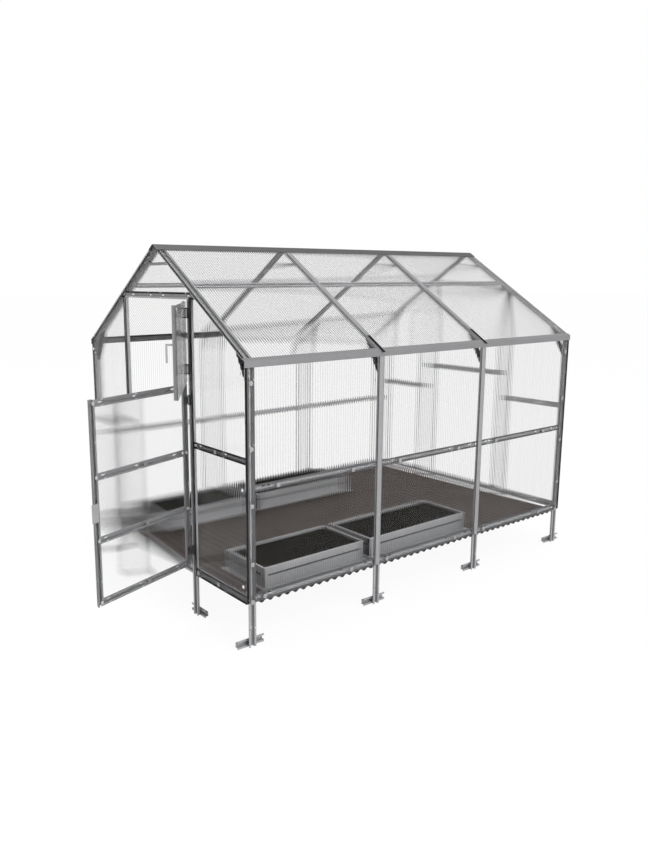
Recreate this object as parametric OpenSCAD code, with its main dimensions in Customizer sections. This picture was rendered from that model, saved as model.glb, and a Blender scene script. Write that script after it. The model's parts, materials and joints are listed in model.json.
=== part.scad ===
// Polycarbonate greenhouse: galvanised hat-section frame, twin-wall sheets, split door.
// X runs along the length from the door end, Y across from the near side wall, Z up.
// The origin is at the foot of the near corner post, on the ground and on its outer face.

/* [Footprint] */
// Spacing of the portal frames along the length
bay = 1000; // [700:10:1300]
// Number of bays between the portal frames
bays = 3; // [1:1:5]
// Width across the outer faces of the side posts
frame_w = 2000; // [1700:10:2600]
// Distance of the gable walls' outer faces beyond the end frames
gable_out = 14; // [8:1:18]

/* [Heights] */
// Length of the legs below the base rails
leg_len = 275; // [150:5:500]
// Height from the underside of the base rails to the eave
wall_h = 1403; // [1250:1:1900]
// Rise of the roof from the eave to the ridge
roof_rise = 652; // [400:2:900]
// Height of the middle of the side girts above the base rails' underside
girt_h = 680; // [400:10:900]
// Height of the middle of the gable side rails above the base rails' underside
gable_rail_h = 845; // [500:5:1000]
// Height of the middle of the back wall's centre rail above the base rails' underside
back_rail_h = 1050; // [900:10:1200]
// Height of the middle of the gable headers above the eave
header_rise = 342; // [260:1:380]
// Drop of the collar ties below the ridge
collar_drop = 124; // [90:1:180]

/* [Main profile] */
// Width of the main hat profile across its flanges
main_w = 52; // [44:1:70]
// Depth of the main hat profile
main_d = 20; // [15:1:30]
// Width of the main profile's crown
main_crown = 29; // [22:1:36]

/* [Light profile] */
// Width of the light hat profile across its flanges
light_w = 42; // [34:1:50]
// Depth of the light hat profile
light_d = 18; // [12:1:24]
// Width of the light profile's crown
light_crown = 22; // [16:1:28]

/* [Sheet metal and glazing] */
// Thickness of the profiles' steel
steel_t = 1.5; // [1:0.1:3]
// Thickness of the twin-wall sheets
sheet_t = 4; // [3:0.5:8]
// Gap between two roof sheets at a rafter
joint_gap = 2; // [1:0.5:6]
// Reach of the roof, eave trims and ridge cap past the end frames
verge = 20; // [19:1:60]

/* [Roof] */
// Distance of the purlins from the side walls, level
purlin_y = 620; // [450:10:750]
// Length of a knee brace's leg along the post and along the rafter
brace_leg = 105; // [100:5:220]
// Height of the eave trim's face
trim_h = 36; // [25:1:60]
// Width of the eave trim's upper leg on the sheets
trim_leg = 26; // [15:1:50]
// Width of each leg of the ridge cap
cap_leg = 62; // [40:1:100]
// Width of the flat strips over the joints between the sheets
strip_w = 38; // [24:2:48]
// Length of the black seal strips over the roof joints
seal_l = 172; // [80:2:300]
// Reach of the seal strips past the eave trim
seal_out = 12; // [2:1:30]
// Width of the seal strips
seal_w = 20; // [10:1:24]
// Thickness of the seal strips
seal_t = 3; // [2:0.5:6]

/* [Feet] */
// Length of the cross-pieces on the side walls' legs
side_foot_l = 190; // [120:10:300]
// Length of the cross-pieces on the gable walls' legs
gable_foot_l = 168; // [120:4:300]

/* [Door] */
// Distance between the middles of the door posts
jamb_pitch = 852; // [752:2:900]
// Gap between the door leaves and the door posts
leaf_gap = 8.5; // [7.5:0.5:14]
// Gap under the lower leaf
sill_gap = 6; // [5:1:20]
// Height of the lower leaf
lower_h = 1160; // [1100:5:1250]
// Gap between the lower and the upper leaf
split_gap = 18; // [8:1:30]
// Height of the middle of the lower leaf's third rail above the base rails' underside
leaf_rail_low = 436; // [300:5:550]
// Height of the middle of its second rail above the base rails' underside
leaf_rail_high = 794; // [650:5:950]
// Gap between the upper leaf and the header
top_gap = 9; // [4:1:20]
// How far the lower leaf stands open, in degrees
lower_open = 108.5; // [0:0.5:150]
// How far the upper leaf stands open, in degrees
upper_open = 146; // [0:0.5:150]
// Radius of the hinge pins
pin_r = 2; // [1.5:0.1:2.2]
// Running clearance round the hinge pins
pin_play = 0.08; // [0.02:0.01:0.1]
// Distance of the pins in front of the door posts
pin_out = 3.5; // [3.5:0.5:8]
// Distance of the pins from the leaves' edges
pin_gap = 4.5; // [4.5:0.1:5.5]
// Wall thickness of the hinge barrels
barrel_wall = 1.3; // [1:0.1:1.6]
// Length of the hinge barrels
barrel_l = 44; // [20:2:80]
// Height of the middle of the latch above the base rails' underside
latch_z = 600; // [500:10:700]
// Height of the latch
latch_h = 104; // [60:2:160]

/* [Floor] */
// Pitch of the corrugated floor sheet
wave_pitch = 63; // [40:1:120]
// Height of its waves over all
wave_h = 18; // [10:1:30]
// Thickness of the floor sheet
floor_t = 2; // [1:0.5:4]

/* [Raised beds] */
// Lengths of the two beds in the row, from the door end
bed_lengths = [820, 970];
// Distance of the first bed from the door frame's middle
bed_start = 180; // [80:10:300]
// Gap between two beds in a row
bed_between = 60; // [40:5:120]
// Distance of the beds from the side wall's outer face
bed_offset = 130; // [80:5:200]
// Width of a bed
bed_w = 410; // [300:10:450]
// Height of a bed
bed_h = 125; // [90:5:250]
// Depth of the soil's surface below the rim
soil_drop = 18; // [5:1:40]

/* [Hidden] */

mid_y = frame_w / 2;
pitch = atan(roof_rise / mid_y);
length = bay * bays;
end_x = main_w / 2;
gable_x = end_x + gable_out;
eave_z = leg_len + wall_h;
margin = 60;
far = 5000;
base_z = leg_len + main_w / 2;
girt_z = leg_len + girt_h;
gable_rail_z = leg_len + gable_rail_h;
back_rail_z = leg_len + back_rail_h;
header_z = eave_z + header_rise;
collar_z = eave_z + roof_rise - collar_drop;
jamb_top = header_z - light_w / 2;
jamb_y = mid_y - jamb_pitch / 2;
leaf_w = jamb_pitch - main_w - 2 * leaf_gap;
leaf_y = jamb_y + main_w / 2 + leaf_gap;
leaf_z = leg_len + main_w + sill_gap;
upper_z = leaf_z + lower_h + split_gap;
upper_h = jamb_top - top_gap - upper_z;
barrel_r = pin_r + pin_play + barrel_wall;
hinge_x = -gable_x - pin_out;
hinge_y = leaf_y - pin_gap;
low_hinge_in = 100;
high_hinge_in = 70;
low_hinges = [leaf_z + low_hinge_in, leaf_z + lower_h - low_hinge_in];
high_hinges = [upper_z + high_hinge_in, upper_z + upper_h - high_hinge_in];
all_hinges = concat(low_hinges, high_hinges);
trim_play = 0.3;
lap_play = 0.05;
strap_t = 2;
strap_l = 28;
plate_t = 1.5;
ear_h = 8;
axial_play = 1;
strap_in = 1;
plate_in = 1;
leg_play = 1;
bed_t = 2;
bed_rim = 12;
bed_flange = 25;

zinc = [0.66, 0.67, 0.68];
zinc_dark = [0.45, 0.46, 0.47];
clear = [0.88, 0.9, 0.92, 0.45];
brown = [0.26, 0.22, 0.2];
black = [0.08, 0.08, 0.08];

// Height of the roof frame's upper face at a level distance from the near wall.
function roof_z(y) = eave_z + min(y, frame_w - y) * tan(pitch);

// Hat section standing on Z: flanges in the plane y = 0, crown at y = depth, open towards -Y.
module channel(len, w, d, crown) {
    linear_extrude(len)
        polygon([
            [-w / 2, 0], [-crown / 2 + steel_t, 0], [-crown / 2 + steel_t, d - steel_t],
            [crown / 2 - steel_t, d - steel_t], [crown / 2 - steel_t, 0], [w / 2, 0],
            [w / 2, steel_t], [crown / 2, steel_t], [crown / 2, d],
            [-crown / 2, d], [-crown / 2, steel_t], [-w / 2, steel_t]
        ]);
}
module main_bar(len) { channel(len, main_w, main_d, main_crown); }
module light_bar(len) { channel(len, light_w, light_d, light_crown); }

// Bars turned to lie along X, open towards -Y, and along Y, open towards -X.
module along_x() { rotate([0, 90, 0]) children(); }
module along_y() { rotate([0, -90, -90]) children(); }

// Mirror image across the ridge, and across the middle frame of the length.
module far_side() { translate([0, frame_w, 0]) mirror([0, 1, 0]) children(); }
module back_end() { translate([length, 0, 0]) mirror([1, 0, 0]) children(); }
module both_sides() {
    children();
    far_side() children();
}

// Space under both slopes at a depth below the rafters' upper faces.
module below_roof(depth) {
    drop = depth / cos(pitch);
    rotate([90, 0, 90])
        translate([0, 0, -far])
            linear_extrude(2 * far)
                polygon([
                    [-margin, -margin], [frame_w + margin, -margin],
                    [frame_w + margin, eave_z - drop - margin * tan(pitch)],
                    [mid_y, eave_z + roof_rise - drop], [-margin, eave_z - drop - margin * tan(pitch)]
                ]);
}

// Places a bar on the near slope, open towards the sky, running up the slope from the eave.
module on_slope(x, y) { translate([x, y, roof_z(y)]) rotate([pitch - 90, 0, 0]) children(); }

module near_posts() {
    color(zinc)
        for (i = [0:bays])
            intersection() {
                translate([i * bay, 0, 0]) main_bar(eave_z + main_d);
                below_roof(main_d);
            }
}
module far_posts() { far_side() near_posts(); }

module near_rafters() {
    run = mid_y / cos(pitch) + 2 * margin;
    color(zinc)
        for (i = [0:bays])
            intersection() {
                on_slope(i * bay, 0) translate([0, 0, -margin]) main_bar(run);
                translate([i * bay - main_w, 0, 0]) cube([2 * main_w, mid_y, far]);
            }
}
module far_rafters() { far_side() near_rafters(); }

module collar_ties() {
    color(zinc)
        for (i = [0:bays])
            intersection() {
                translate([i * bay, 0, collar_z + light_d]) rotate([-90, 0, 0]) light_bar(frame_w);
                below_roof(main_d);
            }
}

module near_knee_braces() {
    corner_z = roof_z(main_d) - main_d / cos(pitch);
    lean = (90 - pitch) / 2;
    color(zinc)
        for (i = [0:bays])
            intersection() {
                translate([i * bay, main_d, corner_z - brace_leg])
                    rotate([-lean, 0, 0]) translate([0, 0, -margin]) light_bar(3 * brace_leg);
                translate([i * bay - main_w, main_d, 0]) cube([2 * main_w, mid_y, far]);
                below_roof(main_d);
            }
}
module far_knee_braces() { far_side() near_knee_braces(); }

// Folded cap over the ridge, lying on the roof sheets.
module ridge_cap() {
    foot_y = cap_leg * cos(pitch);
    foot_z = cap_leg * sin(pitch);
    lift = steel_t / cos(pitch);
    color(zinc_dark)
        translate([-end_x - verge, mid_y, roof_z(mid_y) + (sheet_t + lap_play) / cos(pitch)])
            rotate([90, 0, 90])
                linear_extrude(length + 2 * (end_x + verge))
                    polygon([[-foot_y, -foot_z], [0, 0], [foot_y, -foot_z],
                             [foot_y, lift - foot_z], [0, lift], [-foot_y, lift - foot_z]]);
}

// Folded trim: a face hanging in front of the wall sheet and a leg up the slope on the roof sheet.
module near_eave_trim() {
    face_y = -sheet_t - 2 * steel_t;
    top_z = eave_z + face_y * tan(pitch) + (sheet_t + lap_play) / cos(pitch);
    lift = steel_t / cos(pitch);
    leg_y = trim_leg * cos(pitch);
    leg_z = trim_leg * sin(pitch);
    color(zinc)
        translate([-end_x - verge, face_y, top_z])
            rotate([90, 0, 90])
                linear_extrude(length + 2 * (end_x + verge))
                    polygon([[0, 0], [leg_y, leg_z], [leg_y, leg_z + lift],
                             [-steel_t, lift - steel_t * tan(pitch)], [-steel_t, -trim_h], [0, -trim_h]]);
}
module far_eave_trim() { far_side() near_eave_trim(); }

module near_purlins() {
    color(zinc)
        for (i = [0:bays - 1])
            on_slope(i * bay + end_x, purlin_y) along_x() light_bar(bay - main_w);
}
module far_purlins() { far_side() near_purlins(); }

module near_girts() {
    color(zinc)
        for (i = [0:bays - 1])
            translate([i * bay + end_x, 0, girt_z]) along_x() light_bar(bay - main_w);
}
module far_girts() { far_side() near_girts(); }

module near_base_rails() {
    color(zinc)
        for (i = [0:bays - 1])
            translate([i * bay + end_x, 0, base_z]) along_x() main_bar(bay - main_w);
}
module far_base_rails() { far_side() near_base_rails(); }

// A gable rail from the corner post's flange to the inner post, notched round the crown.
module gable_rail(z, main) {
    run = jamb_y - main_w / 2 - steel_t;
    difference() {
        translate([-gable_x, steel_t, z])
            along_y()
                if (main) main_bar(run);
                else light_bar(run);
        translate([-main_crown / 2 - lap_play, 0, z - main_w]) cube([main_w, main_d, 2 * main_w]);
    }
}

// A rail between the two inner posts of a gable.
module middle_rail(z, main) {
    translate([-gable_x, jamb_y + main_w / 2, z])
        along_y()
            if (main) main_bar(jamb_pitch - main_w);
            else light_bar(jamb_pitch - main_w);
}

module front_base_rails() {
    color(zinc) {
        both_sides() gable_rail(base_z, true);
        middle_rail(base_z, true);
    }
}
module back_base_rails() { back_end() front_base_rails(); }

module door_posts() {
    color(zinc)
        intersection() {
            both_sides() translate([-gable_x, jamb_y, 0]) rotate([0, 0, -90]) main_bar(jamb_top);
            below_roof(sheet_t + lap_play);
        }
}
module back_posts() { back_end() door_posts(); }

module front_header() {
    color(zinc)
        intersection() {
            translate([-gable_x, 0, header_z]) along_y() light_bar(frame_w);
            below_roof(sheet_t + lap_play);
        }
}
module back_header() { back_end() front_header(); }

module front_side_rails() {
    color(zinc) both_sides() gable_rail(gable_rail_z, false);
}
module back_side_rails() { back_end() front_side_rails(); }

module back_centre_rail() { color(zinc) back_end() middle_rail(back_rail_z, false); }

// Cross-pieces fixed on the crowns of the legs, level with their lower ends.
module side_feet() {
    color(zinc)
        both_sides()
            for (i = [0:bays])
                translate([i * bay - side_foot_l / 2, main_d, main_w / 2])
                    along_x() main_bar(side_foot_l);
}
module front_feet() {
    color(zinc)
        both_sides()
            translate([-gable_x + main_d, jamb_y - gable_foot_l / 2, main_w / 2])
                along_y() main_bar(gable_foot_l);
}
module back_feet() { back_end() front_feet(); }

module near_wall_sheets() {
    color(clear)
        for (i = [0:bays - 1]) {
            x0 = i == 0 ? -end_x : i * bay;
            x1 = i == bays - 1 ? length + end_x : (i + 1) * bay - joint_gap;
            translate([x0, -sheet_t, leg_len])
                cube([x1 - x0, sheet_t, wall_h - sheet_t * tan(pitch)]);
        }
}
module far_wall_sheets() { far_side() near_wall_sheets(); }

module near_roof_sheets() {
    overhang = (sheet_t + 2 * steel_t - trim_play - sheet_t * sin(pitch)) / cos(pitch);
    color(clear)
        for (i = [0:bays - 1]) {
            x0 = i == 0 ? -end_x - verge : i * bay;
            x1 = i == bays - 1 ? length + end_x + verge : (i + 1) * bay - joint_gap;
            translate([x0, 0, eave_z])
                rotate([pitch, 0, 0])
                    translate([0, -overhang, 0])
                        cube([x1 - x0, mid_y / cos(pitch) + overhang, sheet_t]);
        }
}
module far_roof_sheets() { far_side() near_roof_sheets(); }

// Gable sheet between two level places, from a lower height up to the roof sheets.
module gable_sheet(y0, y1, z0) {
    translate([-gable_x - sheet_t, 0, 0])
        rotate([90, 0, 90])
            linear_extrude(sheet_t)
                polygon([[y0, z0], [y1, z0], [y1, roof_z(y1) - lap_play],
                         if (y0 < mid_y && y1 > mid_y) [mid_y, roof_z(mid_y) - lap_play],
                         [y0, roof_z(y0) - lap_play]]);
}
module front_gable_sheets() {
    color(clear) {
        both_sides() gable_sheet(-sheet_t, jamb_y, leg_len);
        gable_sheet(jamb_y + joint_gap, frame_w - jamb_y - joint_gap, header_z);
    }
}
module back_gable_sheets() {
    color(clear)
        back_end() {
            both_sides() gable_sheet(-sheet_t, jamb_y, leg_len);
            gable_sheet(jamb_y + joint_gap, frame_w - jamb_y - joint_gap, leg_len);
        }
}

// Flat strips over the sheets' joints, up the walls and the slopes of the inner frames.
module joint_strips() {
    wall_strip = wall_h - trim_h / 2;
    fold = (sheet_t + 2 * steel_t) / cos(pitch) - (sheet_t + steel_t + lap_play) * tan(pitch);
    slope_start = trim_leg - fold + joint_gap;
    slope_end = mid_y / cos(pitch) - cap_leg - joint_gap;
    if (bays > 1)
        color(zinc)
            both_sides()
                for (i = [1:bays - 1])
                    translate([i * bay - joint_gap / 2 - strip_w / 2, 0, 0]) {
                        translate([0, -sheet_t - lap_play - steel_t, leg_len])
                            cube([strip_w, steel_t, wall_strip]);
                        translate([0, 0, eave_z])
                            rotate([pitch, 0, 0])
                                translate([0, slope_start, sheet_t + lap_play])
                                    cube([strip_w, slope_end - slope_start, steel_t]);
                    }
}

// Short black strips over the lower ends of the roof joints and over the eave trim.
module roof_seals() {
    start = (sheet_t + 3 * steel_t + seal_out) / cos(pitch);
    if (bays > 1)
        color(black)
            both_sides()
                for (i = [1:bays - 1])
                    translate([i * bay - joint_gap / 2 - seal_w / 2, 0, eave_z])
                        rotate([pitch, 0, 0])
                            translate([0, -start, sheet_t + steel_t + 2 * lap_play])
                                cube([seal_w, seal_l, seal_t]);
}

// Black strips that fill the corners between the gable sheets and the end frames.
module corner_seals() {
    bar_x = gable_out - 2 * lap_play;
    color(black)
        for (end = [0, 1])
            translate([end * length, 0, 0])
                mirror([end, 0, 0])
                    both_sides()
                        translate([-gable_x + lap_play, 0, 0]) {
                            translate([0, -sheet_t, leg_len]) cube([bar_x, sheet_t, wall_h - sheet_t]);
                            intersection() {
                                translate([0, 0, eave_z])
                                    rotate([pitch, 0, 0])
                                        translate([0, -sheet_t, -sheet_t])
                                            cube([bar_x, far, sheet_t - lap_play]);
                                cube([bar_x, mid_y, far]);
                            }
                            translate([0, -sheet_t, eave_z - 2 * sheet_t])
                                cube([bar_x, sheet_t + lap_play, sheet_t]);
                        }
}

// Corrugated floor sheet under the base rails, cut out round every leg.
module floor_sheet() {
    steps = 8;
    reach = length + main_w;
    count = ceil(reach / wave_pitch * steps);
    mean_z = leg_len - wave_h / 2;
    swing = (wave_h - floor_t) / 2;
    function wave(i, side) =
        [min(i * wave_pitch / steps, reach), swing * cos(i * 360 / steps) + side * floor_t / 2];
    color(brown)
        difference() {
            translate([-end_x, frame_w, mean_z])
                rotate([90, 0, 0])
                    linear_extrude(frame_w)
                        polygon(concat([for (i = [0:count]) wave(i, -1)],
                                       [for (i = [count:-1:0]) wave(i, 1)]));
            both_sides() {
                for (i = [0:bays])
                    translate([i * bay - main_w / 2 - leg_play, -leg_play, 0])
                        cube([main_w + 2 * leg_play, main_d + 2 * leg_play, leg_len + margin]);
                for (x = [-gable_x, length + gable_x])
                    translate([x - main_d - leg_play, jamb_y - main_w / 2 - leg_play, 0])
                        cube([2 * (main_d + leg_play), main_w + 2 * leg_play, leg_len + margin]);
            }
        }
}

function bed_x(i) = i == 0 ? bed_start : bed_x(i - 1) + bed_lengths[i - 1] + bed_between;

// Bottomless steel box with a folded rim and a foot flange.
module bed_box(len) {
    difference() {
        union() {
            translate([-bed_flange, -bed_flange, 0])
                cube([len + 2 * bed_flange, bed_w + 2 * bed_flange, bed_t]);
            cube([len, bed_w, bed_h]);
        }
        translate([bed_t, bed_t, -1]) cube([len - 2 * bed_t, bed_w - 2 * bed_t, bed_h - bed_t + 1]);
        translate([bed_rim, bed_rim, 0]) cube([len - 2 * bed_rim, bed_w - 2 * bed_rim, bed_h + 1]);
    }
}
module bed_boxes() {
    color(zinc)
        both_sides()
            for (i = [0:len(bed_lengths) - 1])
                translate([bed_x(i), bed_offset, leg_len]) bed_box(bed_lengths[i]);
}
module bed_soil() {
    color(black)
        both_sides()
            for (i = [0:len(bed_lengths) - 1])
                translate([bed_x(i) + bed_t, bed_offset + bed_t, leg_len])
                    cube([bed_lengths[i] - 2 * bed_t, bed_w - 2 * bed_t, bed_h - soil_drop]);
}

// Turns a closed leaf about the hinge axis.
module swung(angle) {
    translate([hinge_x, hinge_y, 0]) rotate([0, 0, angle]) translate([-hinge_x, -hinge_y, 0]) children();
}

// Leaf frame pieces in the closed place, outer faces level with the door posts.
module leaf_stiles(z, h) {
    for (y = [leaf_y + light_w / 2, leaf_y + leaf_w - light_w / 2])
        translate([-gable_x, y, z]) rotate([0, 0, -90]) light_bar(h);
}
module leaf_rail(z) {
    translate([-gable_x, leaf_y + light_w, z]) along_y() light_bar(leaf_w - 2 * light_w);
}
module leaf_sheet(z, h) { translate([-gable_x - sheet_t, leaf_y, z]) cube([sheet_t, leaf_w, h]); }

// Hinge barrels with their straps, carried by the leaf and lying on its sheet.
module leaf_hinges(heights) {
    for (z = heights)
        difference() {
            union() {
                translate([hinge_x, hinge_y, z - barrel_l / 2])
                    cylinder(r = barrel_r, h = barrel_l, $fn = 32);
                translate([-gable_x - sheet_t - strap_t, hinge_y + strap_in, z - barrel_l / 2])
                    cube([strap_t, strap_l, barrel_l]);
            }
            translate([hinge_x, hinge_y, z - barrel_l])
                cylinder(r = pin_r + pin_play, h = 2 * barrel_l, $fn = 32);
        }
}

// Pins held by two knuckles each on plates fixed to the near door post.
module hinge_pins() {
    plate_y = jamb_y + joint_gap;
    half = barrel_l / 2 + axial_play;
    color(zinc_dark)
        for (z = all_hinges) {
            translate([hinge_x, hinge_y, z - half - ear_h])
                cylinder(r = pin_r, h = 2 * (half + ear_h), $fn = 32);
            for (low = [z - half - ear_h, z + half]) {
                translate([hinge_x, hinge_y, low]) cylinder(r = barrel_r, h = ear_h, $fn = 32);
                translate([-gable_x - plate_t, plate_y, low]) cube([plate_t, hinge_y - plate_y, ear_h]);
            }
            translate([-gable_x - plate_t, plate_y, z - half - ear_h])
                cube([plate_t, jamb_y + main_w / 2 - plate_y - plate_in, 2 * (half + ear_h)]);
        }
}

module window_frame() {
    color(zinc)
        swung(upper_open) {
            leaf_stiles(upper_z, upper_h);
            leaf_rail(upper_z + light_w / 2);
            leaf_rail(upper_z + upper_h - light_w / 2);
            leaf_hinges(high_hinges);
        }
}
module window_sheet() { color(clear) swung(upper_open) leaf_sheet(upper_z, upper_h); }

// Bent bar handle on the inner face of the window leaf's free stile.
module window_handle() {
    reach = 36;
    thick = 10;
    drop = 96;
    color(zinc)
        swung(upper_open)
            translate([light_d - gable_x, leaf_y + leaf_w - light_w / 2 - thick / 2,
                       upper_z + upper_h / 2 + drop / 2]) {
                translate([0, 0, -thick]) cube([reach, thick, thick]);
                translate([reach - thick, 0, -drop]) cube([thick, thick, drop]);
            }
}

module door_stiles() { color(zinc) swung(lower_open) leaf_stiles(leaf_z, lower_h); }
module door_rails() {
    heights = [leaf_z + light_w / 2, leg_len + leaf_rail_low, leg_len + leaf_rail_high,
               leaf_z + lower_h - light_w / 2];
    color(zinc) swung(lower_open) for (z = heights) leaf_rail(z);
}
module door_sheet() { color(clear) swung(lower_open) leaf_sheet(leaf_z, lower_h); }
module door_hinges() { color(zinc_dark) swung(lower_open) leaf_hinges(low_hinges); }

// Latch plate reaching past the free edge, in front of the far door post.
module door_latch() {
    foot_w = 24;
    foot_t = 4;
    reach = 19;
    thick = 6;
    color(zinc)
        swung(lower_open)
            translate([-gable_x - sheet_t, leaf_y + leaf_w, leg_len + latch_z - latch_h / 2]) {
                translate([-foot_t, -foot_w, 0]) cube([foot_t, foot_w, latch_h]);
                translate([-foot_t - thick, -foot_w, 0]) cube([thick, foot_w + reach, latch_h]);
            }
}

near_posts();
far_posts();
near_rafters();
far_rafters();
collar_ties();
near_knee_braces();
far_knee_braces();
ridge_cap();
near_eave_trim();
far_eave_trim();
near_purlins();
far_purlins();
near_girts();
far_girts();
near_base_rails();
far_base_rails();
front_base_rails();
back_base_rails();
door_posts();
front_header();
front_side_rails();
back_posts();
back_header();
back_side_rails();
back_centre_rail();
side_feet();
front_feet();
back_feet();
near_wall_sheets();
far_wall_sheets();
near_roof_sheets();
far_roof_sheets();
front_gable_sheets();
back_gable_sheets();
joint_strips();
roof_seals();
corner_seals();
floor_sheet();
bed_boxes();
bed_soil();
hinge_pins();
window_frame();
window_sheet();
window_handle();
door_stiles();
door_rails();
door_sheet();
door_hinges();
door_latch();
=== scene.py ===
"""Polycarbonate greenhouse: galvanised frame, fluted clear sheets, split door, raised beds.

The steel nodes are copied and punched, and the fastenings, beds and soil are modelled here.
All sizes are metres, in the frame of the solids.
"""

import json
import math

import bpy
from mathutils import Matrix, Vector


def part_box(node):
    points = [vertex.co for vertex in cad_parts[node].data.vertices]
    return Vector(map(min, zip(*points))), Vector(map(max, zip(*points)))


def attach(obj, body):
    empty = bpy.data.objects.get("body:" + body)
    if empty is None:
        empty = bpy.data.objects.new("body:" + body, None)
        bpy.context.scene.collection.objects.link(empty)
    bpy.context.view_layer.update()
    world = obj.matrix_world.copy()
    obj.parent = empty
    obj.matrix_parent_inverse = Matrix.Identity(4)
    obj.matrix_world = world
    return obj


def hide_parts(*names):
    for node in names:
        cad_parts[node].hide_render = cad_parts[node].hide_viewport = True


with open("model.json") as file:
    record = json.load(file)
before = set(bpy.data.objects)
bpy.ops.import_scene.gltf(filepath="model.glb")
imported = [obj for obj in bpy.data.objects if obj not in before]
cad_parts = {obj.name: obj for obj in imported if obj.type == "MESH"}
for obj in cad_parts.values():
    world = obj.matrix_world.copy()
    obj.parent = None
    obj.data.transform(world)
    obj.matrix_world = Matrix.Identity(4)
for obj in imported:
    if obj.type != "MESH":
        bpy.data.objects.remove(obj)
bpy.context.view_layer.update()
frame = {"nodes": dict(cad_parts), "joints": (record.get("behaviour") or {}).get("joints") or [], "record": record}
nodes = frame["nodes"]
root = "root"
scene = bpy.context.scene


# ---------------------------------------------------------------- shader maths

class Field:
    """A socket of a node tree that can be used in ordinary arithmetic."""

    def __init__(self, tree, socket):
        self.tree, self.socket = tree, socket

    def _math(self, operation, a, b=None):
        made = self.tree.nodes.new("ShaderNodeMath")
        made.operation = operation
        for slot, value in enumerate((a, b)):
            if isinstance(value, Field):
                self.tree.links.new(value.socket, made.inputs[slot])
            elif value is not None:
                made.inputs[slot].default_value = value
        return Field(self.tree, made.outputs[0])

    def __add__(self, other): return self._math("ADD", self, other)
    def __radd__(self, other): return self._math("ADD", other, self)
    def __sub__(self, other): return self._math("SUBTRACT", self, other)
    def __rsub__(self, other): return self._math("SUBTRACT", other, self)
    def __mul__(self, other): return self._math("MULTIPLY", self, other)
    def __rmul__(self, other): return self._math("MULTIPLY", other, self)
    def sin(self): return self._math("SINE", self)
    def wrap(self): return self._math("FRACT", self)
    def most(self, other): return self._math("MAXIMUM", self, other)


def node(tree, kind, settings=None, output=0, **inputs):
    """Adds a node, sets its settings, then fills or links its sockets, and gives one output.

    A socket is named with its spaces as underscores, or by its place as _0, _1 and so on.
    """
    made = tree.nodes.new("ShaderNode" + kind)
    for name, value in (settings or {}).items():
        if name == "stops":
            ramp = made.color_ramp
            while len(ramp.elements) > 1:
                ramp.elements.remove(ramp.elements[-1])
            ramp.elements[0].position, ramp.elements[0].color = value[0]
            for place, colour in value[1:]:
                ramp.elements.new(place).color = colour
        else:
            setattr(made, name, value)
    for name, value in inputs.items():
        slot = int(name[1:]) if name[0] == "_" else name.replace("_", " ")
        if isinstance(value, Field):
            tree.links.new(value.socket, made.inputs[slot])
        else:
            made.inputs[slot].default_value = value
    return Field(tree, made.outputs[output])


def seen_directly(tree):
    """1 for rays that show a thing to the camera, straight, through sheets or in metal."""
    camera_ray, through, mirrored = (node(tree, "LightPath", output=name) for name in
                                     ("Is Camera Ray", "Is Transmission Ray", "Is Glossy Ray"))
    return camera_ray.most(through).most(mirrored)


def grey(level):
    return (level, level, level, 1.0)


def tint(level):
    """Zinc grey: a touch of blue."""
    return (level * 0.985, level * 0.99, level * 1.015, 1.0)


class Finish:
    """A new material with a Principled shader and places read from Object coordinates."""

    def __init__(self, name):
        self.material = bpy.data.materials.new(name)
        self.material.use_nodes = True
        self.tree = self.material.node_tree
        self.shader = self.tree.nodes["Principled BSDF"]
        self.place = node(self.tree, "TexCoord", output=3)

    def node(self, kind, settings=None, output=0, **inputs):
        return node(self.tree, kind, settings, output, **inputs)

    def along(self, direction):
        """Distance along a direction, in metres."""
        return self.node("VectorMath", {"operation": "DOT_PRODUCT"}, output=1,
                         _0=self.place, _1=direction)

    def noise(self, scale, detail=2.0, stretch=(1, 1, 1)):
        mapped = self.node("Mapping", Vector=self.place, Scale=stretch)
        return self.node("TexNoise", Vector=mapped, Scale=scale, Detail=detail)

    def ramp(self, factor, stops):
        return self.node("ValToRGB", {"stops": stops}, Fac=factor)

    def bump(self, height, distance, strength=1.0):
        return self.node("Bump", Height=height, Distance=distance, Strength=strength)

    def set(self, **values):
        for name, value in values.items():
            socket = self.shader.inputs[name.replace("_", " ")]
            if isinstance(value, Field):
                self.tree.links.new(value.socket, socket)
            else:
                socket.default_value = value

    def mix_with(self, other, share):
        """Mixes another shader in, by a share that may differ from ray to ray."""
        own = Field(self.tree, self.shader.outputs[0])
        mixed = self.node("MixShader", _0=share, _1=own, _2=other)
        self.tree.links.new(mixed.socket, self.tree.nodes["Material Output"].inputs["Surface"])


def steel(name, level, rough=0.42, metal=0.35, spangle=0.10):
    """Galvanised sheet: dull zinc with faint spangle, streaks and darker worn spots."""
    f = Finish(name)
    cells = f.node("TexVoronoi", {"feature": "F1"}, output=1, Vector=f.place, Scale=70.0)
    facet = f.node("VectorMath", {"operation": "DOT_PRODUCT"}, output=1,
                   _0=cells, _1=(0.5, 0.3, 0.2))
    cloud = f.noise(5.0, 3.0)
    fine = f.noise(260.0, 2.0)
    tone = (facet - 0.5) * spangle + (cloud - 0.5) * spangle * 1.6 + (fine - 0.5) * spangle * 0.5
    tones = [(0.2, tint(level * 0.80)), (0.8, tint(level * 1.20))]
    f.set(Base_Color=f.ramp(tone * 2.0 + 0.5, tones),
          Metallic=metal, Roughness=(cloud - 0.5) * 0.25 + (facet - 0.5) * 0.08 + rough,
          Normal=f.bump(fine, 0.00008, 0.5))
    return f.material


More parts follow.
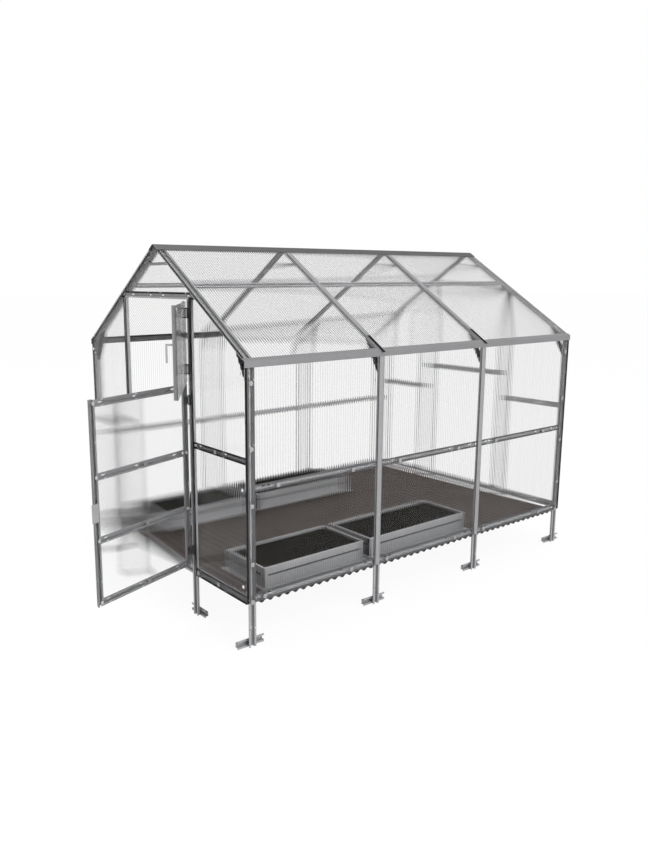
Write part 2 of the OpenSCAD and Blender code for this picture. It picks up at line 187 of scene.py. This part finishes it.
def clear_sheet(name, direction, flute, depth, between=0.97, at_rib=0.84, wander=0.9):
    """Twin-wall sheet: clear, with flutes that repeat along a direction; lamps shine through.

    The tint is lighter between the webs than at them, and wander adds slow unevenness.
    """
    f = Finish(name)
    across = f.along(direction)
    ribs = (across * (2 * math.pi / flute)).sin()
    uneven = f.noise(5.0, 2.0, stretch=[abs(c) * 9 + 0.12 for c in direction])
    rib = (across * (1 / flute)).wrap()
    f.set(Base_Color=f.ramp(rib, [(0.0, grey(at_rib)), (0.12, grey(between)),
                                  (0.88, grey(between)), (1.0, grey(at_rib))]),
          Transmission_Weight=1.0, IOR=1.12, Roughness=0.0, Specular_IOR_Level=0.1,
          Normal=f.bump(ribs + uneven * wander, depth))
    f.mix_with(f.node("BsdfTransparent", Color=grey(0.94)),
               f.node("LightPath", output="Is Shadow Ray"))
    return f.material


def floor_brown(name):
    f = Finish(name)
    mottle = f.noise(9.0, 4.0)
    f.set(Base_Color=f.ramp(mottle, [(0.3, (0.030, 0.022, 0.019, 1)),
                                     (0.7, (0.048, 0.037, 0.032, 1))]),
          Roughness=0.55, Specular_IOR_Level=0.22, Normal=f.bump(f.noise(180.0, 2.0), 0.0002))
    return f.material


def soil_dark(name):
    f = Finish(name)
    f.set(Base_Color=f.ramp(f.noise(60.0, 5.0), [(0.3, (0.0025, 0.0025, 0.002, 1)),
                                                 (0.75, (0.012, 0.010, 0.008, 1))]),
          Roughness=0.95, Specular_IOR_Level=0.08, Normal=f.bump(f.noise(90.0, 5.0), 0.004))
    return f.material


def rubber_black(name):
    f = Finish(name)
    f.set(Base_Color=f.ramp(f.noise(80.0), [(0.3, grey(0.005)), (0.7, grey(0.013))]),
          Roughness=0.85, Specular_IOR_Level=0.12)
    return f.material


zinc = steel("zinc", 0.315)
# dark zinc for the ridge cap, hinges and knee braces; on the eave trims' inner faces it is painted shade
dark_zinc_and_shade = steel("folded_zinc", 0.060, rough=0.5, metal=0.3)
leaf_zinc = steel("leaf_zinc", 0.22)
groove_dark = steel("groove_shadow", 0.045, rough=0.7, metal=0.0)
trim_zinc = steel("trim_zinc", 0.18)
bed_zinc = steel("bed_zinc", 0.28, rough=0.38)
strip_zinc = steel("strip_zinc", 0.25)
strap_zinc = steel("strap_zinc", 0.40, rough=0.5, metal=0.1)
cut_edge = steel("cut_edge", 0.30, rough=0.5, metal=0.1)
brown = floor_brown("floor_brown")
soil = soil_dark("dark_soil")
rubber = rubber_black("black_rubber")
FLUTE, LEAF_FLUTE = 0.0185, 0.0055
LOWER_OPEN, UPPER_OPEN = 108.5, 146
flutes_long = clear_sheet("clear_sheet_long", (1, 0, 0), FLUTE, 0.00040,
                          between=0.96, at_rib=0.70, wander=0.7)
flutes_gable = clear_sheet("clear_sheet_gable", (0, 1, 0), FLUTE, 0.00026,
                           between=0.93, at_rib=0.80)
flutes_roof = clear_sheet("clear_sheet_roof", (1, 0, 0), FLUTE, 0.00042,
                          between=0.93, at_rib=0.42, wander=0.5)


def second_finish(piece, material, test):
    """Gives the faces that pass a test, on their normal and middle, a second finish."""
    piece.data.materials.append(material)
    index = len(piece.data.materials) - 1
    for face in piece.data.polygons:
        if test(face.normal, face.center):
            face.material_index = index


def turned(angle):
    """The direction that a leaf points in when it stands open by an angle in degrees."""
    a = math.radians(angle)
    return (-math.sin(a), math.cos(a), 0.0)


flutes_door = clear_sheet("clear_sheet_door", turned(LOWER_OPEN), LEAF_FLUTE, 0.00017)
flutes_window = clear_sheet("clear_sheet_window", turned(UPPER_OPEN), LEAF_FLUTE, 0.00004,
                            between=0.70, at_rib=0.58)


def paint(names, material):
    for name in names.split():
        nodes[name].data.materials.clear()
        nodes[name].data.materials.append(material)


paint("near_posts far_posts near_rafters far_rafters collar_ties"
      " near_purlins far_purlins near_girts far_girts near_base_rails far_base_rails"
      " door_posts front_header back_posts back_header side_feet front_feet back_feet"
      " front_base_rails back_base_rails front_side_rails back_side_rails back_centre_rail"
      " window_handle door_latch", zinc)
paint("joint_strips", strip_zinc)
paint("window_frame door_stiles door_rails", leaf_zinc)
paint("near_eave_trim far_eave_trim", trim_zinc)
paint("ridge_cap hinge_pins door_hinges near_knee_braces far_knee_braces", dark_zinc_and_shade)
paint("near_wall_sheets far_wall_sheets", flutes_long)
paint("near_roof_sheets far_roof_sheets", flutes_roof)
paint("front_gable_sheets back_gable_sheets", flutes_gable)
paint("door_sheet", flutes_door)
paint("window_sheet", flutes_window)
paint("roof_seals corner_seals", rubber)
paint("floor_sheet", brown)
paint("bed_boxes", bed_zinc)
paint("bed_soil", soil)
# the inner faces of the eave trims take the ridge cap's dark zinc as painted shade under the trims
second_finish(nodes["near_eave_trim"], dark_zinc_and_shade, lambda n, c: n.y > 0.3)
second_finish(nodes["far_eave_trim"], dark_zinc_and_shade, lambda n, c: n.y < -0.3)
# bare metal shows along the floor sheet's cut edges
second_finish(nodes["floor_sheet"], cut_edge, lambda n, c: abs(n.y) > 0.9)


# ---------------------------------------------------------------- modelling by hand

SLACK = 1e-5    # how far a point may lie from the level that it is picked by


def nothing_selected():
    bpy.ops.object.select_all(action="DESELECT")


def edit(piece):
    """Opens one piece in edit mode with nothing selected."""
    nothing_selected()
    piece.select_set(True)
    bpy.context.view_layer.objects.active = piece
    bpy.ops.object.mode_set(mode="EDIT")
    bpy.ops.mesh.select_mode(type="FACE")
    bpy.ops.mesh.select_all(action="DESELECT")


def done():
    bpy.ops.object.mode_set(mode="OBJECT")


def pick(piece, kind, test):
    """Selects the faces, edges or points of the open piece that pass a test."""
    done()
    mesh = piece.data
    for group in (mesh.polygons, mesh.edges, mesh.vertices):
        for part in group:
            part.select = False
    chosen = {"FACE": mesh.polygons, "EDGE": mesh.edges, "VERT": mesh.vertices}[kind]
    for part in chosen:
        part.select = bool(test(part, mesh.vertices))
    bpy.ops.object.mode_set(mode="EDIT")
    bpy.ops.mesh.select_mode(type=kind)


def apply_all(piece):
    nothing_selected()
    piece.select_set(True)
    bpy.context.view_layer.objects.active = piece
    for modifier in list(piece.modifiers):
        bpy.ops.object.modifier_apply(modifier=modifier.name)
    bpy.ops.object.transform_apply(location=True, rotation=True, scale=True)


def outward(piece):
    edit(piece)
    bpy.ops.mesh.select_all(action="SELECT")
    bpy.ops.mesh.remove_doubles(threshold=1e-6)
    bpy.ops.mesh.normals_make_consistent(inside=False)
    done()


def joined(pieces, name):
    nothing_selected()
    for piece in pieces:
        piece.select_set(True)
    bpy.context.view_layer.objects.active = pieces[0]
    if len(pieces) > 1:
        bpy.ops.object.join()
    pieces[0].name = name
    return pieces[0]


def copies(template, name, places):
    """One piece made of a copy of the template at each place, given as a matrix.

    A mirrored copy would be inside out, so its faces are turned round.
    """
    made = []
    for place in places:
        mesh = template.data.copy()
        mesh.transform(place)
        if place.determinant() < 0:
            mesh.flip_normals()
        one = bpy.data.objects.new(name, mesh)
        scene.collection.objects.link(one)
        made.append(one)
    return joined(made, name)


def facing(at, out, along=(0, 0, 1)):
    """Place for a template that stands on Z: its Z turned to a direction, its X along another."""
    z = Vector(out).normalized()
    x = Vector(along).normalized()
    x = (x - z * x.dot(z)).normalized()
    y = z.cross(x)
    turn = Matrix((x, y, z)).transposed().to_4x4()
    return Matrix.Translation(Vector(at)) @ turn


def washer_screw():
    """Sheet washer, 28 mm across, with a low dome and a hexagon screw head in its middle."""
    nothing_selected()
    bpy.ops.mesh.primitive_cylinder_add(vertices=24, radius=0.014, depth=0.0016,
                                        location=(0, 0, 0.0008))
    piece = bpy.context.object
    edit(piece)
    pick(piece, "FACE", lambda f, v: f.normal.z > 0.9)
    bpy.ops.mesh.inset(thickness=0.0025)
    bpy.ops.transform.translate(value=(0, 0, 0.0008))
    bpy.ops.mesh.inset(thickness=0.0045)
    bpy.ops.transform.translate(value=(0, 0, 0.0006))
    done()
    nothing_selected()
    bpy.ops.mesh.primitive_cylinder_add(vertices=6, radius=0.0058, depth=0.0040,
                                        location=(0, 0, 0.0045))
    head = bpy.context.object
    edit(head)
    pick(head, "FACE", lambda f, v: f.normal.z > 0.9)
    bpy.ops.mesh.inset(thickness=0.0008)
    bpy.ops.transform.translate(value=(0, 0, 0.0005))
    done()
    nothing_selected()
    head.select_set(True)
    piece.select_set(True)
    bpy.context.view_layer.objects.active = piece
    bpy.ops.object.join()
    outward(piece)
    apply_all(piece)
    return piece


def bolt_head():
    """Round bolt head on a flat washer, 21 mm across."""
    nothing_selected()
    bpy.ops.mesh.primitive_cylinder_add(vertices=20, radius=0.0105, depth=0.0012,
                                        location=(0, 0, 0.0006))
    piece = bpy.context.object
    edit(piece)
    pick(piece, "FACE", lambda f, v: f.normal.z > 0.9)
    bpy.ops.mesh.inset(thickness=0.0028)
    bpy.ops.mesh.extrude_region_move(TRANSFORM_OT_translate={"value": (0, 0, 0.0022)})
    bpy.ops.mesh.inset(thickness=0.0022)
    bpy.ops.transform.translate(value=(0, 0, 0.0014))
    done()
    outward(piece)
    apply_all(piece)
    return piece


def slot_cutter(length, width, depth):
    """Long round-ended cutter that stands across a steel wall, centred on it."""
    nothing_selected()
    bpy.ops.mesh.primitive_cylinder_add(vertices=12, radius=width / 2, depth=depth)
    piece = bpy.context.object
    reach = (length - width) / 2
    edit(piece)
    pick(piece, "VERT", lambda p, v: p.co.x > SLACK)
    bpy.ops.transform.translate(value=(reach, 0, 0))
    pick(piece, "VERT", lambda p, v: p.co.x < SLACK)
    bpy.ops.transform.translate(value=(-reach, 0, 0))
    done()
    apply_all(piece)
    return piece


def punched(name, places, cutters):
    """A copy of a steel node with slots and holes cut through it; it takes the node's place."""
    piece = bpy.data.objects.new(name + "_punched", nodes[name].data.copy())
    scene.collection.objects.link(piece)
    outward(piece)
    tool = joined([copies(cutters[kind], "cutter", spots) for kind, spots in places.items()],
                  "cutter")
    cut = piece.modifiers.new("punch", "BOOLEAN")
    cut.operation, cut.solver, cut.object = "DIFFERENCE", "EXACT", tool
    nothing_selected()
    piece.select_set(True)
    bpy.context.view_layer.objects.active = piece
    bpy.ops.object.modifier_apply(modifier=cut.name)
    bpy.data.objects.remove(tool)
    piece.data.materials.clear()
    piece.data.materials.append(nodes[name].data.materials[0])
    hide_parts(name)
    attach(piece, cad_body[name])
    return piece


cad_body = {name: body for body, members in frame["record"]["behaviour"]["bodies"].items()
           for name in members}


# ---------------------------------------------------------------- sizes read from the frame

def middle(name, axis):
    low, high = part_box(name)
    return (low[axis] + high[axis]) / 2


def lowest(name, axis):
    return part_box(name)[0][axis]


def highest(name, axis):
    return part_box(name)[1][axis]


WIDTH = 2 * middle("ridge_cap", 1)
BAYS = 3
BAY = (highest("near_posts", 0) + lowest("near_posts", 0)) / BAYS
HALF_POST = -lowest("near_posts", 0)
LENGTH = BAY * BAYS
GIRT_Z = middle("near_girts", 2)
BASE_Z = middle("near_base_rails", 2)
LEG = lowest("near_base_rails", 2)
RAIL_Z = middle("front_side_rails", 2)
HEADER_Z = middle("front_header", 2)
GABLE_X = lowest("front_header", 0)
SHEET = -lowest("near_wall_sheets", 1)
MAIN_DEPTH = highest("near_base_rails", 1)
LIGHT_DEPTH = highest("near_girts", 1)
MAIN_HALF, LIGHT_HALF = 0.026, 0.021      # half the width of the posts' and the girts' profile
MAIN_EDGE, LIGHT_EDGE = 0.0202, 0.0160    # from a profile's middle to its flange holes
WALL_T = 0.0015                           # thickness of the profiles' steel
ROOF_RISE = 0.652                         # rise of the roof for each metre across
EAVE_Z = highest("near_wall_sheets", 2) + SHEET * ROOF_RISE
PITCH = math.atan((highest("near_rafters", 2) - EAVE_Z) / (WIDTH / 2))
UP_SLOPE = Vector((0, math.cos(PITCH), math.sin(PITCH)))
UNDER_SLOPE = Vector((0, math.sin(PITCH), -math.cos(PITCH)))
X, Y, Z = Vector((1, 0, 0)), Vector((0, 1, 0)), Vector((0, 0, 1))

hinge = frame["joints"][0]["pos_m"]


def swing(angle):
    """Turn of a leaf about the upright through its hinges."""
    there = Matrix.Translation((hinge[0], hinge[1], 0))
    return there @ Matrix.Rotation(math.radians(angle), 4, "Z") @ there.inverted()


here = Matrix.Identity(4)
far_side = Matrix.Translation((0, WIDTH, 0)) @ Matrix.Diagonal((1, -1, 1, 1))
back_end = Matrix.Translation((LENGTH, 0, 0)) @ Matrix.Diagonal((-1, 1, 1, 1))


# ---------------------------------------------------------------- slots and holes

def station(start, along, inward, place, depth, edge):
    """Crown slot and two flange holes at a distance along a hat section."""
    at = Vector(start) + Vector(along) * place
    inward = Vector(inward)
    side = inward.cross(Vector(along))
    flat = at + inward * WALL_T / 2
    return {"slot": [facing(at + inward * (depth - WALL_T / 2), inward, along)],
            "hole": [facing(flat + side * edge, inward, along),
                     facing(flat - side * edge, inward, along)]}


def gather(stations, moves):
    """The cutters' places of all stations, each also moved to the other sides."""
    spots = {"slot": [], "hole": []}
    for one in stations:
        for kind, places in one.items():
            spots[kind] += [move @ place for place in places for move in moves]
    return spots


POST_HEIGHTS = [LEG + 0.025, LEG + 0.253, LEG + 0.599, LEG + 0.930, LEG + 1.300]
FOOT_SLOT = 0.115
BAR_PLACES = [0.070, 0.107, 0.676, 0.885]
RAFTER_PLACES = [0.11, 0.20, 0.62, 1.06, 1.12]
PURLIN_Y, PURLIN_PLACES = 0.62, [0.10, 0.30, 0.55, 0.88]
SIDE_PLACES = [0.223, 0.499, WIDTH - 0.499, WIDTH - 0.223]
SILL_PLACES = [0.22, 0.50, WIDTH - 0.50, WIDTH - 0.22]
HEADER_PLACES = [0.607, 0.919, 1.081, 1.331]
UPRIGHT_HEIGHTS = [0.366, 0.892, 1.303, 1.472, 1.539, 1.950]
cutters = {"slot": slot_cutter(length=0.026, width=0.0075, depth=0.008),
           "hole": slot_cutter(length=0.012, width=0.0055, depth=0.008)}


def posts_cut():
    return [station((i * BAY, 0, 0), Z, Y, z, MAIN_DEPTH, MAIN_EDGE)
            for i in range(BAYS + 1) for z in POST_HEIGHTS + [FOOT_SLOT]]


def bars_cut(z, depth, edge):
    return [station((i * BAY + HALF_POST, 0, z), X, Y, place, depth, edge)
            for i in range(BAYS) for place in BAR_PLACES]


def rafters_cut():
    return [station((i * BAY, 0, EAVE_Z), UP_SLOPE, UNDER_SLOPE, place, MAIN_DEPTH, MAIN_EDGE)
            for i in range(BAYS + 1) for place in RAFTER_PLACES]


def purlins_cut():
    height = EAVE_Z + PURLIN_Y * math.tan(PITCH)
    return [station((i * BAY + HALF_POST, PURLIN_Y, height), X, UNDER_SLOPE,
                    place, LIGHT_DEPTH, LIGHT_EDGE)
            for i in range(BAYS) for place in PURLIN_PLACES]


def gable_cut(z, places, depth, edge):
    return [station((GABLE_X, 0, z), Y, X, y, depth, edge) for y in places]


def uprights_cut(name):
    first_y = lowest(name, 1) + MAIN_HALF
    return [station((GABLE_X, y, 0), Z, X, z, MAIN_DEPTH, MAIN_EDGE)
            for y in (first_y, WIDTH - first_y) for z in UPRIGHT_HEIGHTS]


for side, moves in (("near", [here]), ("far", [far_side])):
    girts, rails = (GIRT_Z, LIGHT_DEPTH, LIGHT_EDGE), (BASE_Z, MAIN_DEPTH, MAIN_EDGE)
    punched(side + "_posts", gather(posts_cut(), moves), cutters)
    punched(side + "_girts", gather(bars_cut(*girts), moves), cutters)
    punched(side + "_base_rails", gather(bars_cut(*rails), moves), cutters)
    punched(side + "_rafters", gather(rafters_cut(), moves), cutters)
    punched(side + "_purlins", gather(purlins_cut(), moves), cutters)

for end, moves, upright in (("front", [here], "door_posts"), ("back", [back_end], "back_posts")):
    for part, z, places, depth, edge in (
            ("_side_rails", RAIL_Z, SIDE_PLACES, LIGHT_DEPTH, LIGHT_EDGE),
            ("_base_rails", BASE_Z, SILL_PLACES, MAIN_DEPTH, MAIN_EDGE),
            ("_header", HEADER_Z, HEADER_PLACES, LIGHT_DEPTH, LIGHT_EDGE)):
        punched(end + part, gather(gable_cut(z, places, depth, edge), moves), cutters)
    punched(upright, gather(uprights_cut(upright), moves), cutters)

LEAF_W, PIN_GAP = 0.783, 0.0045
LEAF_Y = hinge[1] + PIN_GAP
LEAF_LOW, LEAF_HIGH = lowest("door_stiles", 2), highest("door_stiles", 2)
LEAF_RAILS = [LEAF_LOW + LIGHT_HALF, LEG + 0.436, LEG + 0.794, LEAF_HIGH - LIGHT_HALF]
WINDOW_RAILS = [lowest("window_frame", 2) + LIGHT_HALF, highest("window_frame", 2) - LIGHT_HALF]
LEAF_PLACES = [0.115, 0.433, 0.690]


def leaf_rail_slots(heights):
    return [station((GABLE_X, LEAF_Y, z), Y, X, y, LIGHT_DEPTH, LIGHT_EDGE)
            for z in heights for y in LEAF_PLACES]


def leaf_stile_slots(low, high, shares):
    return [station((GABLE_X, LEAF_Y + y, 0), Z, X, low + share * (high - low),
                    LIGHT_DEPTH, LIGHT_EDGE)
            for y in (LIGHT_HALF, LEAF_W - LIGHT_HALF) for share in shares]


opened = [swing(LOWER_OPEN)]
punched("door_rails", gather(leaf_rail_slots(LEAF_RAILS), opened), cutters)
stile_slots = leaf_stile_slots(LEAF_LOW, LEAF_HIGH, (0.12, 0.46, 0.80))
punched("door_stiles", gather(stile_slots, opened), cutters)
window_slots = leaf_rail_slots(WINDOW_RAILS) + leaf_stile_slots(*WINDOW_RAILS, (0.2, 0.8))
window_steel = punched("window_frame", gather(window_slots, [swing(UPPER_OPEN)]), cutters)

gable_face = GABLE_X - SHEET
# the window's hinge straps, on the sheet's outer face, are bright zinc
unswung = swing(UPPER_OPEN).inverted()
second_finish(window_steel, strap_zinc, lambda n, c: (unswung @ c).x < gable_face + 0.0002)

for cutter in cutters.values():
    bpy.data.objects.remove(cutter)


# ---------------------------------------------------------------- washers and bolts

def fasten(template, name, places, material, body=root):
    piece = copies(template, name, places)
    piece.data.materials.clear()
    piece.data.materials.append(material)
    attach(piece, body)


def on_both_walls(places):
    return [move @ place for place in places for move in (here, far_side)]


def on_both_gables(places):
    return [move @ place for place in on_both_walls(places) for move in (here, back_end)]


def on_leaf(angle, heights, share):
    """Places on the outer face of a leaf's sheet, turned with the leaf."""
    return [swing(angle) @ facing((gable_face, LEAF_Y + share * LEAF_W, z), -X) for z in heights]


washer = washer_screw()
bolt = bolt_head()
portals = [i * BAY for i in range(BAYS + 1)]

BAR_DROP, POST_DROP = 0.006, 0.021        # washers sit below a bar's middle and a post's slots
wall_spots = [(i * BAY + x, GIRT_Z - BAR_DROP) for i in range(BAYS) for x in (0.187, 0.772)]
wall_spots += [(i * BAY + x, BASE_Z - BAR_DROP) for i in range(BAYS) for x in (0.088, 0.769)]
wall_spots += [(x, z - POST_DROP) for x in (0.0, LENGTH) for z in POST_HEIGHTS]
fasten(washer, "wall_washers",
       on_both_walls([facing((x, -SHEET, z), -Y) for x, z in wall_spots]), zinc)

gable_spots = [(0.294, BASE_Z), (0.526, BASE_Z - 0.004), (0.306, RAIL_Z)]
fasten(washer, "gable_washers",
       on_both_gables([facing((gable_face, y, z), -X) for y, z in gable_spots]), zinc)

CORNER_HEIGHTS = (0.100, 0.675, 1.335)
pale = steel("pale_washer", 0.72, rough=0.5, metal=0.0)
fasten(bolt, "corner_screws",
       on_both_gables([facing((gable_face, MAIN_HALF, LEG + z), -X) for z in CORNER_HEIGHTS]), pale)

# screws down the middle of the flat strips over the joints
STRIP_OFF, STRIP_FACE = -0.001, -SHEET - WALL_T - 0.00005
small = Matrix.Scale(0.62, 4)
strip_spots = [facing((x + STRIP_OFF, STRIP_FACE, LEG + z), -Y) @ small
               for x in portals[1:-1] for z in (0.030, 0.340, 1.020, 1.340)]
fasten(bolt, "strip_screws", on_both_walls(strip_spots), zinc)

# bolts through the crowns where posts meet rafters, and through the side legs' cross-pieces
eave_spots = [facing((x, MAIN_DEPTH, EAVE_Z - z), Y) for x in portals for z in (0.020, 0.048)]
fasten(bolt, "eave_bolts", on_both_walls(eave_spots), zinc)
foot_spots = [facing((x - 0.004, 2 * MAIN_DEPTH, HALF_POST), Y) for x in portals]
fasten(bolt, "foot_bolts", on_both_walls(foot_spots), zinc)

HINGE_SHARE, MIDDLE_SHARE, FREE_SHARE = 0.030, 0.487, 0.966
fasten(washer, "leaf_washers", on_leaf(LOWER_OPEN, LEAF_RAILS[:3], MIDDLE_SHARE),
       leaf_zinc, "door_leaf")
fasten(bolt, "leaf_bolts",
       on_leaf(LOWER_OPEN, LEAF_RAILS, FREE_SHARE)
       + on_leaf(LOWER_OPEN, LEAF_RAILS[1:3], HINGE_SHARE), strap_zinc, "door_leaf")
fasten(bolt, "window_bolts", on_leaf(UPPER_OPEN, WINDOW_RAILS, FREE_SHARE), strap_zinc)
bpy.data.objects.remove(washer)
bpy.data.objects.remove(bolt)


# ---------------------------------------------------------------- raised beds and soil

BED_X = [(0.180, 0.820), (1.060, 0.970)]
BED_Y, BED_W, BED_H = 0.130, 0.410, 0.125
BED_T, RIM, FLANGE, SOIL_DROP = 0.0012, 0.012, 0.025, 0.018
GROOVE_LOW, GROOVE_HIGH, GROOVE_DEEP = 0.070, 0.081, 0.008


def resize_plan(length, growth, centre):
    """Grows what is selected of a bed by the same width on all four sides."""
    share = ((length + 2 * growth) / length, (BED_W + 2 * growth) / BED_W, 1)
    bpy.ops.transform.resize(value=share, center_override=centre)


def bed_box(x, length, y, z):
    """Bottomless folded box with a groove round it, a rim turned in and a foot turned out."""
    nothing_selected()
    bpy.ops.mesh.primitive_cube_add(size=1, scale=(length, BED_W, BED_H),
                                    location=(x + length / 2, y + BED_W / 2, z + BED_H / 2))
    piece = bpy.context.object
    bpy.ops.object.transform_apply(location=True, rotation=True, scale=True)
    edit(piece)
    low, high = z + GROOVE_LOW, z + GROOVE_HIGH
    for height in (low, high):
        bpy.ops.mesh.select_all(action="SELECT")
        bpy.ops.mesh.bisect(plane_co=(0, 0, height), plane_no=(0, 0, 1))
    pick(piece, "FACE", lambda f, v: abs(f.normal.z) > 0.9)
    bpy.ops.mesh.delete(type="FACE")
    pick(piece, "FACE", lambda f, v: low - SLACK < f.center.z < high + SLACK)
    bpy.ops.mesh.extrude_region_move()
    resize_plan(length, -GROOVE_DEEP, (x + length / 2, y + BED_W / 2, (low + high) / 2))
    done()
    outward(piece)
    edit(piece)
    for level, growth in ((z + BED_H, -RIM), (z, FLANGE)):
        pick(piece, "EDGE", lambda e, v: all(abs(v[i].co.z - level) < SLACK for i in e.vertices))
        bpy.ops.mesh.extrude_region_move()
        resize_plan(length, growth, (x + length / 2, y + BED_W / 2, level))
    done()
    wall = piece.modifiers.new("sheet", "SOLIDIFY")
    wall.thickness, wall.offset = BED_T, -1
    apply_all(piece)
    return piece


def corner_angle(x, y, z, sx, sy):
    """Upright angle that caps a bed's corner, 32 mm on each side."""
    nothing_selected()
    half = 0.016
    bpy.ops.mesh.primitive_cube_add(size=1, scale=(2 * half, 2 * half, BED_H - 0.004),
                                    location=(x + sx * half, y + sy * half, z + BED_H / 2))
    piece = bpy.context.object
    bpy.ops.object.transform_apply(location=True, rotation=True, scale=True)
    edit(piece)
    pick(piece, "FACE", lambda f, v: abs(f.normal.z) > 0.9
         or f.normal.x * sx > 0.9 or f.normal.y * sy > 0.9)
    bpy.ops.mesh.delete(type="FACE")
    done()
    outward(piece)
    wall = piece.modifiers.new("sheet", "SOLIDIFY")
    wall.thickness, wall.offset = BED_T, 1
    edge = piece.modifiers.new("edge", "BEVEL")
    edge.width, edge.segments = 0.0005, 1
    apply_all(piece)
    return piece


beds_at = [(bed_x, bed_len, bed_y) for bed_x, bed_len in BED_X
           for bed_y in (BED_Y, WIDTH - BED_Y - BED_W)]
boxes, angles = [], []
for bed_x, bed_len, bed_y in beds_at:
    boxes.append(bed_box(bed_x, bed_len, bed_y, LEG))
    angles += [corner_angle(bed_x + cx * bed_len, bed_y + cy * BED_W, LEG, 1 - 2 * cx, 1 - 2 * cy)
               for cx in (0, 1) for cy in (0, 1)]
beds = joined(boxes, "grooved_beds")
beds.data.materials.clear()
beds.data.materials.append(bed_zinc)
# the groove's faces take a near-black zinc: painted shade in the recess
second_finish(beds, groove_dark,
              lambda n, c: GROOVE_LOW - 0.001 < c.z - LEG < GROOVE_HIGH + 0.001)
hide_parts("bed_boxes")
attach(beds, root)
corners = joined(angles, "bed_corner_angles")
outward(corners)
corners.data.materials.clear()
corners.data.materials.append(bed_zinc)
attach(corners, root)


def soil_block(x, length, y, z):
    """Soil that fills a bed, its top raked into low uneven crumbs."""
    nothing_selected()
    height = BED_H - SOIL_DROP
    bpy.ops.mesh.primitive_cube_add(size=1, scale=(length - 2 * RIM, BED_W - 2 * RIM, height),
                                    location=(x + length / 2, y + BED_W / 2, z + height / 2))
    piece = bpy.context.object
    bpy.ops.object.transform_apply(location=True, rotation=True, scale=True)
    edit(piece)
    pick(piece, "FACE", lambda f, v: f.normal.z > 0.9)
    bpy.ops.mesh.subdivide(number_cuts=63)
    done()
    still = 0.02    # width of the level edge beside the bed's walls
    top = piece.vertex_groups.new(name="top")
    top.add([v.index for v in piece.data.vertices if v.co.z > z + height - SLACK
             and x + still < v.co.x < x + length - still
             and y + still < v.co.y < y + BED_W - still], 1.0, "REPLACE")
    for scale, strength in ((0.030, 0.010), (0.011, 0.006)):
        cloud = bpy.data.textures.new("crumbs", "CLOUDS")
        cloud.noise_scale = scale
        lift = piece.modifiers.new("crumbs", "DISPLACE")
        lift.texture, lift.strength, lift.mid_level = cloud, strength, 0.75
        lift.direction, lift.vertex_group, lift.texture_coords = "Z", "top", "GLOBAL"
    apply_all(piece)
    return piece


blocks = [soil_block(bed_x, bed_len, bed_y, LEG) for bed_x, bed_len, bed_y in beds_at]
earth = joined(blocks, "raked_soil")
earth.data.materials.clear()
earth.data.materials.append(soil)
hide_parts("bed_soil")
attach(earth, root)


# ---------------------------------------------------------------- stage

def make_camera():
    yaw, pitch, roll = math.radians(36.76), math.radians(-10.55), math.radians(-0.198)
    ahead = Vector((math.sin(yaw) * math.cos(pitch), math.cos(yaw) * math.cos(pitch),
                    math.sin(pitch)))
    level = Vector((math.cos(yaw), -math.sin(yaw), 0))
    over = level.cross(ahead)
    right = level * math.cos(roll) + over * math.sin(roll)
    up = over * math.cos(roll) - level * math.sin(roll)
    turn = Matrix((right, up, -ahead)).transposed()
    data = bpy.data.cameras.new("camera")
    data.sensor_width, data.lens = 36, 31.60
    data.shift_x, data.shift_y = 0.0589, -0.0131
    camera = bpy.data.objects.new("camera", data)
    camera.matrix_world = Matrix.Translation((-2.369, -3.377, 2.115)) @ turn.to_4x4()
    scene.collection.objects.link(camera)
    scene.camera = camera


def make_world(light):
    """White where it is seen; a little less where it lights things."""
    world = bpy.data.worlds.new("studio")
    scene.world = world
    world.use_nodes = True
    tree = world.node_tree
    background = tree.nodes["Background"]
    strength = seen_directly(tree) * (1 - light) + light
    tree.links.new(strength.socket, background.inputs["Strength"])
    background.inputs["Color"].default_value = (1, 1, 1, 1)


def lamp(name, place, aim, size, power):
    data = bpy.data.lights.new(name, "AREA")
    data.shape, data.size, data.energy = "SQUARE", size, power
    made = bpy.data.objects.new(name, data)
    scene.collection.objects.link(made)
    made.location = place
    aimed = Vector(aim) - Vector(place)
    made.rotation_euler = aimed.to_track_quat("-Z", "Y").to_euler()


def make_ground(paleness):
    nothing_selected()
    bpy.ops.mesh.primitive_plane_add(size=200, location=(1.5, 1.0, 0.0))
    ground = bpy.context.object
    ground.name = "ground"
    bpy.ops.object.transform_apply(location=True, rotation=True, scale=True)
    look = Finish("pale_ground")
    look.set(Base_Color=grey(paleness), Roughness=0.9)
    look.mix_with(look.node("Emission"), seen_directly(look.tree) * paleness)
    ground.data.materials.append(look.material)


make_camera()
make_world(light=0.92)
lamp("key_lamp", (0.5, -5.5, 6.0), (1.4, 1.0, 1.0), 4.0, 190)
lamp("fill_lamp", (1.0, -7.0, 3.4), (1.5, 1.0, 0.9), 4.0, 235)
lamp("rear_lamp", (3.5, 7.5, 10.0), (1.5, 1.0, 1.0), 5.0, 230)
make_ground(paleness=0.93)
scene.view_settings.view_transform = "Standard"
